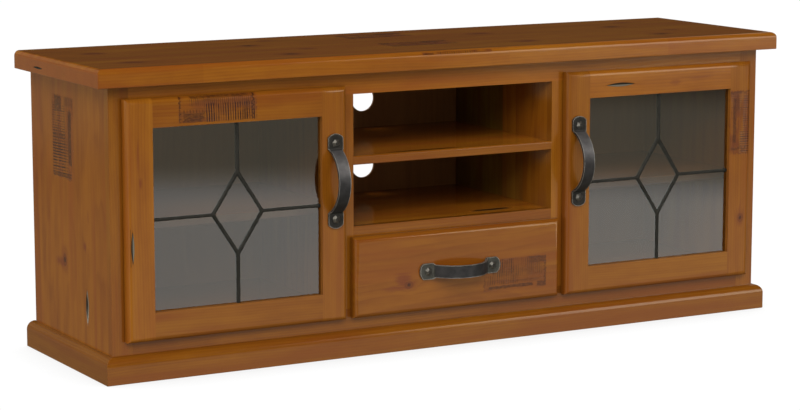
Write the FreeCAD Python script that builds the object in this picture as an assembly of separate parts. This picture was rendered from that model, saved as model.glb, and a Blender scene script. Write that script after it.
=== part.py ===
import FreeCAD, Part
import math
import os

# Rustic pine TV unit: two leaded-glass doors, one drawer, two open centre bays.
# Millimetres, +Z up, front towards -Y, X across the width.
# Working coordinates: x = 0 at the centre, y = 0 at the front of the face frame,
# z = 0 on the floor.  The export shifts Y so that the whole part's box is centred.

V = FreeCAD.Vector

# ---------------------------------------------------------------- driving sizes
HEIGHT = 650.0            # floor to top surface
TOP_W = 1690.0            # top slab width
TOP_T = 39.0              # top slab thickness
TOP_FRONT = 32.0          # top overhang in front of the face frame
TOP_ROUND = 12.0          # rounding of the top slab's upper edges
BACK_Y = 430.0            # back of the top slab and the plinth
CARC_W = 1622.0           # carcass width over the sides
CARC_BACK = 424.0         # back of the carcass
SIDE_T = 20.0             # side panel thickness
BACK_T = 6.0              # back panel thickness
BACK_REBATE = 10.0        # back panel rebate in the sides
PANEL_T = 18.0            # bottom, partitions, lower shelf and loose shelves
FRAME_T = 20.0            # face frame thickness
STILE_W = 45.0            # face frame stile and mullion width
BOTTOM_TOP = 102.0        # top of the bottom panel and bottom rail
OPEN_TOP = 564.5          # lower edge of the face frame's top rail
OPEN_HALF = 250.0         # half width of the centre opening
MID_Z0, MID_Z1 = 412.5, 431.0      # upper centre shelf
LOW_Z1 = 280.0            # top of the lower shelf
RAIL_Z0 = 250.0           # underside of the drawer rail
BAY_Z1 = 324.0            # top of the loose shelves
BAY_FRONT = 40.0          # front edge of the loose shelves
PLINTH_T = 20.0           # plinth board thickness
PLINTH_H = 55.5           # plinth height
PLINTH_ROUND = 18.0       # rounding of the plinth's upper edge

DOOR_X0, DOOR_X1 = 276.5, 783.5    # right door, inner and outer edge
DOOR_Z0, DOOR_Z1 = 83.0, 585.0
DOOR_T = 19.5             # door and drawer front thickness
DOOR_GAP = 3.0            # gap between door and face frame
DOOR_ROUND = 11.5         # rounding of the front edges
DOOR_EASE = 1.5           # rounding of the back edges
DSTILE_W = 60.0           # door stile width
DRAIL_W = 60.5            # door rail width
LIP_T = 10.0              # wood in front of the glass
REBATE_W = 9.0            # glazing rebate width
GLASS_T = 4.0
TENON_L, TENON_T, TENON_H = 30.0, 6.0, 36.0

CAME_W = 7.5              # lead strip width
CAME_T = 1.6              # lead strip thickness on each face
DIAMOND_W, DIAMOND_H = 56.5, 85.5  # half sizes of the lead diamond

PIN_IN = 8.0              # hinge pin in from the door's edge
PIN_DEEP = 10.0           # hinge pin in from the door's back face
PIN_R = 1.75
PIN_PLAY = 0.05           # radial clearance of the hinge eye
EYE_R = 2.75
ARM_W = 10.0
CUP_R = 17.5
CUP_EDGE = 3.0            # wood between the cup and the door's edge
HINGE_INSET = 85.0        # hinge centre from the door's top and bottom

DRAWER_HALF = 260.0       # half width of the drawer front
DRAWER_Z0, DRAWER_Z1 = 83.0, 259.0
BOX_HALF = 237.3          # half width over the drawer sides
BOX_SIDE_T = 12.0
BOX_LEN = 375.0
BOX_Z0, BOX_Z1 = 112.0, 236.0
BOX_BOT_Z0, BOX_BOT_T = 124.0, 6.0

HANDLE_LEN = 202.0        # strap handle over its plates
HANDLE_OUT = 47.0         # strap front in front of the door
STRAP_T = 5.0
PLATE_W = 35.0
PLATE_L = 33.0
STRAP_W = 27.5            # strap width
STRAP_BEND = 4.0          # bend between the plate and the bow
BOLT_PITCH = 162.0
HEAD_R, HEAD_TOP_R = 9.3, 4.4      # bolt head over its corners, at its foot and on its flat top
HEAD_BAND, HEAD_H = 1.4, 5.8       # upright band of the head and its whole height
HANDLE_Z = 385.5          # door handle centre height
HANDLE_X = 306.5          # door handle centre from the middle
DRAWER_HANDLE_Z = 171.0

HOLE_R = 29.5             # cable holes in the back panel
HOLE_Z = (343.0, 498.0)

SCREW_R = 1.75
SCREW_L = 18.0

# distress gouges along the grain: node, middle, direction, face normal, length, width, depth
GOUGES = [
    ("side_panel_left", (-811.0, 129.0, 137.0), (0, 0, 1), (-1, 0, 0), 80.0, 17.0, 5.8),
    ("top_panel", (-845.0, 295.0, 624.0), (0, 1, 0), (-1, 0, 0), 58.0, 6.0, 2.4),
    ("left_door_hinge_stile", (-771.0, -22.5, 281.0), (0, 0, 1), (0, -1, 0), 74.0, 8.4, 3.0),
    ("right_door_top_rail", (418.5, -22.5, 550.5), (1, 0, 0.01), (0, -1, 0), 82.0, 10.0, 3.5),
    ("lower_shelf", (127.0, 53.0, 280.0), (1, 0.02, 0), (0, 0, 1), 124.0, 17.0, 5.8),
    ("side_panel_right", (811.0, 285.0, 404.0), (0, 0, 1), (1, 0, 0), 76.0, 15.0, 5.2),
]

# ---------------------------------------------------------------- derived sizes
TOP_Z0 = HEIGHT - TOP_T
CX = CARC_W / 2.0
SIDE_IN = CX - SIDE_T
PART_OUT = OPEN_HALF + PANEL_T
PLX = CX + PLINTH_T
DOOR_BACK = -DOOR_GAP
DOOR_FRONT = DOOR_BACK - DOOR_T
FRONT_Y = DOOR_FRONT - HANDLE_OUT
Y_SHIFT = -(FRONT_Y + BACK_Y) / 2.0
BACK_FACE = CARC_BACK - BACK_T

parts = {}


# ---------------------------------------------------------------- helpers
def box(x0, x1, y0, y1, z0, z1):
    return Part.makeBox(x1 - x0, y1 - y0, z1 - z0, V(x0, y0, z0))


def cyl(p, d, r, h):
    return Part.makeCylinder(r, h, p, d)


def poly(points, vec):
    w = Part.makePolygon(list(points) + [points[0]])
    return Part.Face(w).extrude(vec)


def rounded(u0, u1, v0, v1, radii, to3d, vec):
    """Rectangle with its own radius at each corner, extruded along vec.
    Corners in order (u0,v0), (u1,v0), (u1,v1), (u0,v1)."""
    c = [(u0, v0, 1, 1), (u1, v0, -1, 1), (u1, v1, -1, -1), (u0, v1, 1, -1)]
    ends = []
    for i, ((u, v, su, sv), r) in enumerate(zip(c, radii)):
        if r <= 0:
            ends.append(((u, v), None, (u, v)))
            continue
        a, b = (u, v + sv * r), (u + su * r, v)
        k = r * (1 - math.sqrt(0.5))
        m = (u + su * k, v + sv * k)
        ends.append((a, m, b) if i in (0, 2) else (b, m, a))
    edges = []
    for i in range(4):
        a, m, b = ends[i]
        if m is not None:
            edges.append(Part.Arc(to3d(*a), to3d(*m), to3d(*b)).toShape())
        n = ends[(i + 1) % 4][0]
        if math.hypot(n[0] - b[0], n[1] - b[1]) > 1e-6:
            edges.append(Part.LineSegment(to3d(*b), to3d(*n)).toShape())
    return Part.Face(Part.Wire(edges)).extrude(vec)


def slab(x0, x1, yf, yb, z0, z1, rf, rb):
    """Panel whose four front edges are rounded by rf and back edges by rb,
    with mitred corners."""
    a = rounded(x0, x1, yf, yb, (rf, rf, rb, rb), lambda u, v: V(u, v, z0), V(0, 0, z1 - z0))
    b = rounded(z0, z1, yf, yb, (rf, rf, rb, rb), lambda u, v: V(x0, v, u), V(x1 - x0, 0, 0))
    return a.common(b)


def one(shape):
    """The shape as a clean solid, or a compound of its solids."""
    s = shape.removeSplitter()
    sol = s.Solids
    return sol[0] if len(sol) == 1 else Part.makeCompound(sol)


def mirror(shape):
    return shape.mirror(V(0, 0, 0), V(1, 0, 0))


def screw(p, d, head_r=3.6, head_h=1.8):
    """Pan-head wood screw: the head stands on p, the shank runs along -d."""
    head = Part.makeCone(head_r, head_r * 0.62, head_h, p, d)
    shank = cyl(p - d * (SCREW_L - 4.0), d, SCREW_R, SCREW_L - 4.0)
    tip = Part.makeCone(0.2, SCREW_R, 4.0, p - d * SCREW_L, d)
    return head.fuse([shank, tip])


def screw_hole(p, d):
    """The hole that the screw fills, a little longer than its point."""
    hole = cyl(p - d * (SCREW_L - 4.0), d, SCREW_R, SCREW_L - 4.0 + 30.0)
    return hole.fuse(Part.makeCone(0.2, SCREW_R, 4.0, p - d * SCREW_L, d))


def gouge(mid, along, normal, length, width, depth):
    """Lens-shaped V groove: the rim of a wide disc with a sharp edge."""
    m, a, n = V(*mid), V(*along), V(*normal)
    a.normalize()
    n.normalize()
    r = length ** 2 / (8 * depth) + depth / 2
    c = m + n * (r - depth)
    ax = a.cross(n)
    h = r * width / (2 * depth)
    return Part.makeCone(r, 0, h, c, ax).fuse(Part.makeCone(r, 0, h, c, ax * -1))


# ---------------------------------------------------------------- top slab
top = rounded(-TOP_W / 2, TOP_W / 2, TOP_Z0, HEIGHT, (1.5, 1.5, TOP_ROUND, TOP_ROUND),
              lambda u, v: V(u, -TOP_FRONT, v), V(0, TOP_FRONT + BACK_Y, 0))
top = top.common(rounded(-TOP_FRONT, BACK_Y, TOP_Z0, HEIGHT, (1.5, 1.5, 2.5, TOP_ROUND),
                         lambda u, v: V(-TOP_W / 2, u, v), V(TOP_W, 0, 0)))

# ---------------------------------------------------------------- carcass
side_r = box(SIDE_IN, CX, FRAME_T, CARC_BACK, 0, TOP_Z0)
side_r = side_r.cut(box(SIDE_IN - 1, SIDE_IN + BACK_REBATE, BACK_FACE, CARC_BACK + 1, 66.0, TOP_Z0 + 1))
part_r = box(OPEN_HALF, PART_OUT, FRAME_T, BACK_FACE, BOTTOM_TOP, TOP_Z0)
bottom = box(-SIDE_IN, SIDE_IN, FRAME_T, BACK_FACE, BOTTOM_TOP - PANEL_T, BOTTOM_TOP)
back = box(-SIDE_IN - BACK_REBATE, SIDE_IN + BACK_REBATE, BACK_FACE, CARC_BACK, 66.0, TOP_Z0)
for z in HOLE_Z:
    back = back.cut(cyl(V(0, BACK_FACE - 5, z), V(0, 1, 0), HOLE_R, BACK_T + 10))

# face frame
fs_r = box(CX - STILE_W, CX, 0, FRAME_T, 0, TOP_Z0)
mu_r = box(OPEN_HALF, OPEN_HALF + STILE_W, 0, FRAME_T, BOTTOM_TOP, OPEN_TOP)
top_rail = box(-CX + STILE_W, CX - STILE_W, 0, FRAME_T, OPEN_TOP, TOP_Z0)
bottom_rail = box(-CX + STILE_W, CX - STILE_W, 0, FRAME_T, 30.0, BOTTOM_TOP)
drawer_rail = box(-OPEN_HALF, OPEN_HALF, 0, FRAME_T, RAIL_Z0, LOW_Z1)

# shelves
mid_shelf = rounded(0, BACK_FACE, MID_Z0, MID_Z1, (2.0, 0, 0, 3.0),
                    lambda u, v: V(-OPEN_HALF, u, v), V(2 * OPEN_HALF, 0, 0))
low_shelf = box(-OPEN_HALF, OPEN_HALF, FRAME_T, BACK_FACE, LOW_Z1 - PANEL_T, LOW_Z1)
bay_r = rounded(BAY_FRONT, BACK_FACE - 2, BAY_Z1 - PANEL_T, BAY_Z1, (2.0, 0, 0, 2.0),
                lambda u, v: V(PART_OUT + 2, u, v), V(SIDE_IN - PART_OUT - 4, 0, 0))
peg_r, peg_z = 2.5, BAY_Z1 - PANEL_T - 2.5
pegs, peg_side, peg_part = [], [], []
for y in (80.0, 380.0):
    peg_side.append(cyl(V(SIDE_IN - 8, y, peg_z), V(1, 0, 0), peg_r, 16))
    peg_part.append(cyl(V(PART_OUT - 8, y, peg_z), V(1, 0, 0), peg_r, 16))
for s in peg_side:
    side_r = side_r.cut(s)
for s in peg_part:
    part_r = part_r.cut(s)
pegs = peg_side + peg_part
pegs = pegs + [mirror(p) for p in pegs]

# plinth boards, mitred at the front corners
ring = rounded(-PLX, PLX, 0, PLINTH_H, (1.0, 1.0, PLINTH_ROUND, PLINTH_ROUND),
               lambda u, v: V(u, -PLINTH_T, v), V(0, PLINTH_T + BACK_Y, 0))
ring = ring.common(rounded(-PLINTH_T, BACK_Y, 0, PLINTH_H, (1.0, 0, 0, PLINTH_ROUND),
                           lambda u, v: V(-PLX, u, v), V(2 * PLX, 0, 0)))
zc = V(0, 0, PLINTH_H)
plinth_front = ring.common(poly([V(-PLX, -PLINTH_T, 0), V(PLX, -PLINTH_T, 0), V(CX, 0, 0), V(-CX, 0, 0)], zc))
plinth_r = ring.common(poly([V(PLX, -PLINTH_T, 0), V(PLX, BACK_Y, 0), V(CX, BACK_Y, 0), V(CX, 0, 0)], zc))

# rails that carry the bottom panel
base = [box(-SIDE_IN, SIDE_IN, BACK_FACE - PANEL_T, BACK_FACE, 0, BOTTOM_TOP - PANEL_T)]
for s in (-1, 1):
    x0 = s * (OPEN_HALF + PANEL_T / 2) - PANEL_T / 2
    base.append(box(x0, x0 + PANEL_T, FRAME_T, BACK_FACE - PANEL_T, 0, BOTTOM_TOP - PANEL_T))

# cleats in the corners under the top
cleats_r = [box(SIDE_IN - 20, SIDE_IN, 60, 360, TOP_Z0 - 12, TOP_Z0),
            box(PART_OUT, PART_OUT + 20, 60, 360, TOP_Z0 - 12, TOP_Z0)]
screws = []
for i, c in enumerate(cleats_r):
    x = c.BoundBox.Center.x
    for y in (100.0, 320.0):
        p, d = V(x, y, TOP_Z0 - 12), V(0, 0, -1)
        h = screw_hole(p, d)
        cleats_r[i] = cleats_r[i].cut(h)
        top = top.cut(h).cut(mirror(h))
        s = screw(p, d)
        screws += [s, mirror(s)]
cleats = cleats_r + [mirror(c) for c in cleats_r]

# ---------------------------------------------------------------- hinges
pin_x = DOOR_X1 - PIN_IN
pin_y = DOOR_BACK - PIN_DEEP
cup_x = DOOR_X1 - CUP_EDGE - CUP_R
leg_in, leg_out = 12.5, 14.5       # arm leg, from the pin towards the door's middle
stile_edge = CX - STILE_W
hinge_z = (DOOR_Z0 + HINGE_INSET, DOOR_Z1 - HINGE_INSET)
arms_r, plates_r, cups_r, pins_r, pockets_r = [], [], [], [], []
for z in hinge_z:
    eye = cyl(V(pin_x, pin_y, z - ARM_W / 2), V(0, 0, 1), EYE_R, ARM_W)
    web = box(pin_x - leg_out, pin_x, pin_y - EYE_R, pin_y - 0.75, z - ARM_W / 2, z + ARM_W / 2)
    leg = box(pin_x - leg_out, pin_x - leg_in, pin_y - EYE_R, 42.0, z - ARM_W / 2, z + ARM_W / 2)
    foot = box(pin_x - leg_out, pin_x - leg_in, 1.5, 42.0, z - 7, z + 7)
    arm = eye.fuse([web, leg, foot])
    arm = arm.cut(cyl(V(pin_x, pin_y, z - 20), V(0, 0, 1), PIN_R + PIN_PLAY, 40))
    plate = box(pin_x - leg_in, stile_edge, 2.0, 18.0, z - 18, z + 18)
    plate_in = pin_x - leg_in
    for dz in (-13.0, 13.0):
        p, d = V(plate_in, 10.0, z + dz), V(-1, 0, 0)
        h = screw_hole(p, d)
        plate = plate.cut(h)
        fs_r = fs_r.cut(h)
        s = screw(p, d, 3.4, 1.6)
        screws += [s, mirror(s)]
    arms_r.append(arm)
    plates_r.append(plate)
    cup = cyl(V(cup_x, DOOR_BACK - 14.3, z), V(0, 1, 0), CUP_R, 14.3)
    ears = box(cup_x - 8, cup_x + 8, DOOR_BACK, DOOR_BACK + 1.2, z - 27, z + 27)
    cup = cup.fuse(ears)
    cup = cup.cut(cyl(V(cup_x, DOOR_BACK - 13.5, z), V(0, 1, 0), CUP_R - 1.0, 20))
    pin = cyl(V(pin_x, pin_y, z - 11.6), V(0, 0, 1), PIN_R, 23.2)
    cups_r.append(cup.cut(pin))
    pins_r.append(pin)
    pockets_r.append(cyl(V(cup_x, DOOR_BACK - 14.4, z), V(0, 1, 0), CUP_R + 0.1, 20))
    pockets_r.append(cyl(V(pin_x, pin_y, z - 11.8), V(0, 0, 1), PIN_R + 0.1, 23.6))
arms = arms_r + [mirror(s) for s in arms_r]
plates = plates_r + [mirror(s) for s in plates_r]

# ---------------------------------------------------------------- back panel screws
bs = []
for z in (110.0, 270.0, 420.0, 580.0):
    bs.append(V(SIDE_IN + 5, CARC_BACK, z))
    bs.append(V(-SIDE_IN - 5, CARC_BACK, z))
for x in (-620.0, -180.0, 180.0, 620.0):
    bs.append(V(x, CARC_BACK, BOTTOM_TOP - PANEL_T / 2))
for z in (200.0, 460.0):
    bs.append(V(OPEN_HALF + PANEL_T / 2, CARC_BACK, z))
    bs.append(V(-OPEN_HALF - PANEL_T / 2, CARC_BACK, z))
side_l, part_l = mirror(side_r), mirror(part_r)
for p in bs:
    d = V(0, 1, 0)
    h = screw_hole(p, d)
    back = back.cut(h)
    if abs(p.x) > SIDE_IN:
        if p.x > 0:
            side_r = side_r.cut(h)
        else:
            side_l = side_l.cut(h)
    elif p.z < BOTTOM_TOP:
        bottom = bottom.cut(h)
    elif p.x > 0:
        part_r = part_r.cut(h)
    else:
        part_l = part_l.cut(h)
    screws.append(screw(p, d))

# ---------------------------------------------------------------- strap handle
def strap_profile():
    """Side view of the strap as (along, out) pieces: flat plates and one round bow between them.
    Returns its front face and its rear face, each from plate end to plate end."""
    e, t, f = HANDLE_LEN / 2, STRAP_T, STRAP_BEND
    half = e - PLATE_L
    rise = HANDLE_OUT - t
    r = (half ** 2 + rise ** 2) / (2 * rise)
    c = HANDLE_OUT - r                       # height of the bow's centre
    zf = math.sqrt((r + f) ** 2 - (t + f - c) ** 2)
    k = r / (r + f)
    foot = (zf * k, c + (t + f - c) * k)     # where the bend runs into the bow
    turn = math.atan2(foot[0], foot[1] - c)  # the bow's slope there
    mid = (zf - f * math.sin(turn / 2), t + f - f * math.cos(turn / 2))
    flip = lambda p: (-p[0], p[1])
    front = [("l", (e, t), (zf, t)), ("a", (zf, t), mid, foot), ("a", foot, (0.0, HANDLE_OUT), flip(foot)),
             ("a", flip(foot), flip(mid), (-zf, t)), ("l", (-zf, t), (-e, t))]
    zi = math.sqrt((r - t) ** 2 - c ** 2)
    rear = [("l", (e, 0.0), (zi, 0.0)), ("a", (zi, 0.0), (0.0, HANDLE_OUT - t), (-zi, 0.0)), ("l", (-zi, 0.0), (-e, 0.0))]
    return front, rear


def handle_shape():
    """Strap handle lying along Z, its plates on y = 0 and its strap towards -Y."""
    to3d = lambda p: V(-30, -p[1], p[0])
    edges = []
    front, rear = strap_profile()
    for seg in front + rear:
        pts = [to3d(p) for p in seg[1:]]
        if seg[0] == "l":
            edges.append(Part.LineSegment(pts[0], pts[1]).toShape())
        else:
            edges.append(Part.Arc(pts[0], pts[1], pts[2]).toShape())
    for k in (0, -1):
        i = 1 if k == 0 else -1
        edges.append(Part.LineSegment(to3d(front[k][i]), to3d(rear[k][i])).toShape())
    wire = Part.Wire(Part.__sortEdges__(edges))
    side = Part.Face(wire).extrude(V(60, 0, 0))
    # seen from the front: a straight strap, square shoulders and a round end on each plate
    e, w, m = HANDLE_LEN / 2, PLATE_W / 2, STRAP_W / 2
    inner = e - PLATE_L
    q = [(m, inner - 3.0), (w, inner + 0.5), (w, e - 10.9), (w - 0.6, e - 8.1), (w - 2.3, e - 5.8), (0, e)]
    at = lambda p, sx, sz: V(sx * p[0], 5, sz * p[1])
    edges = []
    for sz in (1, -1):
        for sx in (1, -1):
            a = [at(p, sx, sz) for p in q]
            edges.append(Part.LineSegment(a[0], a[1]).toShape())
            edges.append(Part.LineSegment(a[1], a[2]).toShape())
            edges.append(Part.Arc(a[2], a[3], a[4]).toShape())
        edges.append(Part.Arc(at(q[4], 1, sz), at(q[5], 1, sz), at(q[4], -1, sz)).toShape())
    for sx in (1, -1):
        edges.append(Part.LineSegment(at(q[0], sx, 1), at(q[0], sx, -1)).toShape())
    outline = Part.Face(Part.Wire(Part.__sortEdges__(edges))).extrude(V(0, -80, 0))
    h = side.common(outline)
    for z in (-BOLT_PITCH / 2, BOLT_PITCH / 2):
        h = h.cut(cyl(V(0, 5, z), V(0, -1, 0), 3.2, 20))
    return h


def bolt_shapes(grip):
    """Bolts with a six-sided forged head on the plate and a hexagon nut behind the panel."""
    out = []
    for z in (-BOLT_PITCH / 2, BOLT_PITCH / 2):
        y0 = -STRAP_T

        def six(r, y):
            pts = [V(r * math.cos(math.radians(60 * k + 12)), y, z + r * math.sin(math.radians(60 * k + 12))) for k in range(6)]
            return Part.makePolygon(pts + [pts[0]])
        band = Part.Face(six(HEAD_R, y0)).extrude(V(0, -HEAD_BAND, 0))
        crown = Part.makeLoft([six(HEAD_R, y0 - HEAD_BAND), six(HEAD_TOP_R, y0 - HEAD_H)], True, True)
        shank = cyl(V(0, y0, z), V(0, 1, 0), 3.0, STRAP_T + grip + 5.5)
        out.append(band.fuse([crown, shank]))
        pts = [V(5.77 * math.cos(math.radians(60 * k)), grip, z + 5.77 * math.sin(math.radians(60 * k))) for k in range(6)]
        nut = poly(pts, V(0, 4.0, 0)).cut(cyl(V(0, grip - 1, z), V(0, 1, 0), 3.0, 8))
        out.append(nut)
    return out


def bolt_bores(grip):
    return [cyl(V(0, -1, z), V(0, 1, 0), 3.2, grip + 2) for z in (-BOLT_PITCH / 2, BOLT_PITCH / 2)]


def placed(s, at, flat=False):
    s = s.copy()
    if flat:
        s.rotate(V(0, 0, 0), V(0, 1, 0), 90)
    s.translate(at)
    return s


handle = handle_shape()

# ---------------------------------------------------------------- right door (the left one is its mirror image)
leaf = slab(DOOR_X0, DOOR_X1, DOOR_FRONT, DOOR_BACK, DOOR_Z0, DOOR_Z1, DOOR_ROUND, DOOR_EASE)
gx0, gx1 = DOOR_X0 + DSTILE_W, DOOR_X1 - DSTILE_W
gz0, gz1 = DOOR_Z0 + DRAIL_W, DOOR_Z1 - DRAIL_W
lip_y = DOOR_FRONT + LIP_T
rebate = box(gx0 - REBATE_W, gx1 + REBATE_W, lip_y, DOOR_BACK + 1, gz0 - REBATE_W, gz1 + REBATE_W)
big = 100.0
lock = leaf.common(box(DOOR_X0 - 1, gx0, -big, big, 0, HEIGHT)).cut(rebate)
hinge = leaf.common(box(gx1, DOOR_X1 + 1, -big, big, 0, HEIGHT)).cut(rebate)
rails = []
ty = lip_y - TENON_T - 1.0
for z0, z1, t0 in ((DOOR_Z0, gz0, DOOR_Z0 + 12.0), (gz1, DOOR_Z1, gz1 + 12.5)):
    rail = leaf.common(box(gx0, gx1, -big, big, z0, z1)).cut(rebate)
    tenons = [box(gx0 - TENON_L, gx0, ty, ty + TENON_T, t0, t0 + TENON_H),
              box(gx1, gx1 + TENON_L, ty, ty + TENON_T, t0, t0 + TENON_H)]
    lock = lock.cut(tenons[0])
    hinge = hinge.cut(tenons[1])
    rails.append(rail.fuse(tenons))
for p in pockets_r:
    hinge = hinge.cut(p)
at = V(HANDLE_X, DOOR_FRONT, HANDLE_Z)
for b in bolt_bores(DOOR_T):
    lock = lock.cut(placed(b, at))
glass = box(gx0 - REBATE_W + 1, gx1 + REBATE_W - 1, lip_y, lip_y + GLASS_T, gz0 - REBATE_W + 1, gz1 + REBATE_W - 1)
by0, by1 = lip_y + GLASS_T, DOOR_BACK
bx0, bx1, bz0, bz1 = gx0 - REBATE_W, gx1 + REBATE_W, gz0 - REBATE_W, gz1 + REBATE_W
beads = [box(bx0, bx1, by0, by1, bz0, gz0), box(bx0, bx1, by0, by1, gz1, bz1),
         box(bx0, gx0, by0, by1, gz0, gz1), box(gx1, bx1, by0, by1, gz0, gz1)]

# lead strips: a diamond with lines running to the four sides of the pane
cxm, czm = (gx0 + gx1) / 2, (gz0 + gz1) / 2


def lead(y0, dy):
    w = CAME_W / 2

    def strip(a, b):
        dx, dz = b[0] - a[0], b[1] - a[1]
        n = math.hypot(dx, dz)
        ux, uz = dx / n, dz / n
        px, pz = -uz * w, ux * w
        e = w * 0.55
        a2 = (a[0] - ux * e, a[1] - uz * e)
        b2 = (b[0] + ux * e, b[1] + uz * e)
        return poly([V(a2[0] + px, y0, a2[1] + pz), V(b2[0] + px, y0, b2[1] + pz),
                     V(b2[0] - px, y0, b2[1] - pz), V(a2[0] - px, y0, a2[1] - pz)], V(0, dy, 0))
    t, bt = (cxm, czm + DIAMOND_H), (cxm, czm - DIAMOND_H)
    l, r = (cxm - DIAMOND_W, czm), (cxm + DIAMOND_W, czm)
    runs = [(t, r), (r, bt), (bt, l), (l, t), (t, (cxm, gz1)), (bt, (cxm, gz0)), (l, (gx0, czm)), (r, (gx1, czm))]
    s = strip(*runs[0]).fuse([strip(*q) for q in runs[1:]])
    return s.common(box(gx0 + 0.3, gx1 - 0.3, y0 - 10, y0 + 10, gz0 + 0.3, gz1 - 0.3)).removeSplitter()


came = [lead(lip_y, -CAME_T), lead(lip_y + GLASS_T, CAME_T)]
door = {"hinge_stile": [hinge], "lock_stile": [lock], "bottom_rail": [rails[0]], "top_rail": [rails[1]],
        "glass": [glass], "lead_came": came, "glazing_beads": beads,
        "hinge_cups": cups_r, "hinge_pins": pins_r,
        "handle": [placed(handle, at)], "handle_bolts": [placed(b, at) for b in bolt_shapes(DOOR_T)]}

# ---------------------------------------------------------------- drawer
front = slab(-DRAWER_HALF, DRAWER_HALF, DOOR_FRONT, DOOR_BACK, DRAWER_Z0, DRAWER_Z1, DOOR_ROUND, DOOR_EASE)
bi = BOX_HALF - BOX_SIDE_T
y0, y1 = DOOR_BACK, DOOR_BACK + BOX_LEN
dbot = box(-bi - 5, bi + 5, y0 + 7, y1, BOX_BOT_Z0, BOX_BOT_Z0 + BOX_BOT_T)
dside_r = box(bi, BOX_HALF, y0, y1, BOX_Z0, BOX_Z1).cut(dbot)
dside_l = box(-BOX_HALF, -bi, y0, y1, BOX_Z0, BOX_Z1).cut(dbot)
dfront = box(-bi, bi, y0, y0 + BOX_SIDE_T, BOX_Z0, BOX_Z1).cut(dbot)
dback = box(-bi, bi, y1 - BOX_SIDE_T, y1, BOX_BOT_Z0 + BOX_BOT_T, BOX_Z1)
dat = V(0, DOOR_FRONT, DRAWER_HANDLE_Z)
grip = DOOR_T + BOX_SIDE_T
for b in bolt_bores(grip):
    front = front.cut(placed(b, dat, True))
    dfront = dfront.cut(placed(b, dat, True))
dscrews = []
for x in (-180.0, 180.0):
    for z in (140.0, 215.0):
        p, d = V(x, y0 + BOX_SIDE_T, z), V(0, 1, 0)
        h = screw_hole(p, d)
        dfront = dfront.cut(h)
        front = front.cut(h)
        dscrews.append(screw(p, d))

# side-mounted runners: a channel on each partition and a smaller one on the drawer side
rz = 174.0
chan_r = box(OPEN_HALF - 9.2, OPEN_HALF, 22.0, 372.0, rz - 22, rz + 22).cut(
    box(OPEN_HALF - 20, OPEN_HALF - 1.2, 20.0, 374.0, rz - 20.8, rz + 20.8))
slide_r = box(BOX_HALF, OPEN_HALF - 2.0, 2.0, 352.0, rz - 20.4, rz + 20.4).cut(
    box(BOX_HALF + 1.2, OPEN_HALF, 0.0, 354.0, rz - 19.2, rz + 19.2))

# ---------------------------------------------------------------- nodes
parts["top_panel"] = [top]
parts["side_panel_left"] = [side_l]
parts["side_panel_right"] = [side_r]
parts["bottom_panel"] = [bottom]
parts["partition_left"] = [part_l]
parts["partition_right"] = [part_r]
parts["back_panel"] = [back]
parts["face_stile_left"] = [mirror(fs_r)]
parts["face_stile_right"] = [fs_r]
parts["mullion_left"] = [mirror(mu_r)]
parts["mullion_right"] = [mu_r]
parts["face_top_rail"] = [top_rail]
parts["face_bottom_rail"] = [bottom_rail]
parts["drawer_rail"] = [drawer_rail]
parts["mid_shelf"] = [mid_shelf]
parts["lower_shelf"] = [low_shelf]
parts["bay_shelf_left"] = [mirror(bay_r)]
parts["bay_shelf_right"] = [bay_r]
parts["shelf_pins"] = pegs
parts["plinth_front"] = [plinth_front]
parts["plinth_left"] = [mirror(plinth_r)]
parts["plinth_right"] = [plinth_r]
parts["base_rails"] = base
parts["top_cleats"] = cleats
parts["wood_screws"] = screws
parts["runner_channels"] = [chan_r, mirror(chan_r)]
parts["hinge_arms"] = arms
parts["hinge_plates"] = plates
for name, shapes in door.items():
    parts["right_door_" + name] = shapes
    parts["left_door_" + name] = [mirror(s) for s in shapes]
parts["drawer_front"] = [front]
parts["drawer_box_front"] = [dfront]
parts["drawer_side_left"] = [dside_l]
parts["drawer_side_right"] = [dside_r]
parts["drawer_back"] = [dback]
parts["drawer_bottom"] = [dbot]
parts["drawer_runners"] = [slide_r, mirror(slide_r)]
parts["drawer_screws"] = dscrews
parts["drawer_handle"] = [placed(handle, dat, True)]
parts["drawer_handle_bolts"] = [placed(b, dat, True) for b in bolt_shapes(grip)]

# ---------------------------------------------------------------- distress gouges
for node, *g in GOUGES:
    parts[node] = [q.cut(gouge(*g)) for q in parts[node]]

# ---------------------------------------------------------------- export
os.makedirs("parts", exist_ok=True)
for old in os.listdir("parts"):
    if old.endswith(".step") and old[:-5] not in parts:
        os.remove(os.path.join("parts", old))
lo, hi = [1e9] * 3, [-1e9] * 3
for name in sorted(parts):
    solids = []
    for s in parts[name]:
        solids += one(s).Solids
    shape = solids[0] if len(solids) == 1 else Part.makeCompound(solids)
    shape.translate(V(0, Y_SHIFT, 0))
    if not shape.isValid():
        print("not valid:", name)
    b = shape.BoundBox
    lo = [min(a, c) for a, c in zip(lo, (b.XMin, b.YMin, b.ZMin))]
    hi = [max(a, c) for a, c in zip(hi, (b.XMax, b.YMax, b.ZMax))]
    shape.exportStep(os.path.join("parts", name + ".step"))
    print("%-28s %2d solids %10.0f mm3" % (name, len(solids), sum(s.Volume for s in solids)))
print(len(parts), "nodes; y shift", Y_SHIFT)
print("box", [round(v, 3) for v in lo], [round(v, 3) for v in hi])
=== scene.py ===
"""Looks of the pine TV unit: stained pine boards, leaded glass, forged straps and plain hardware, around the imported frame."""

import math

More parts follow.
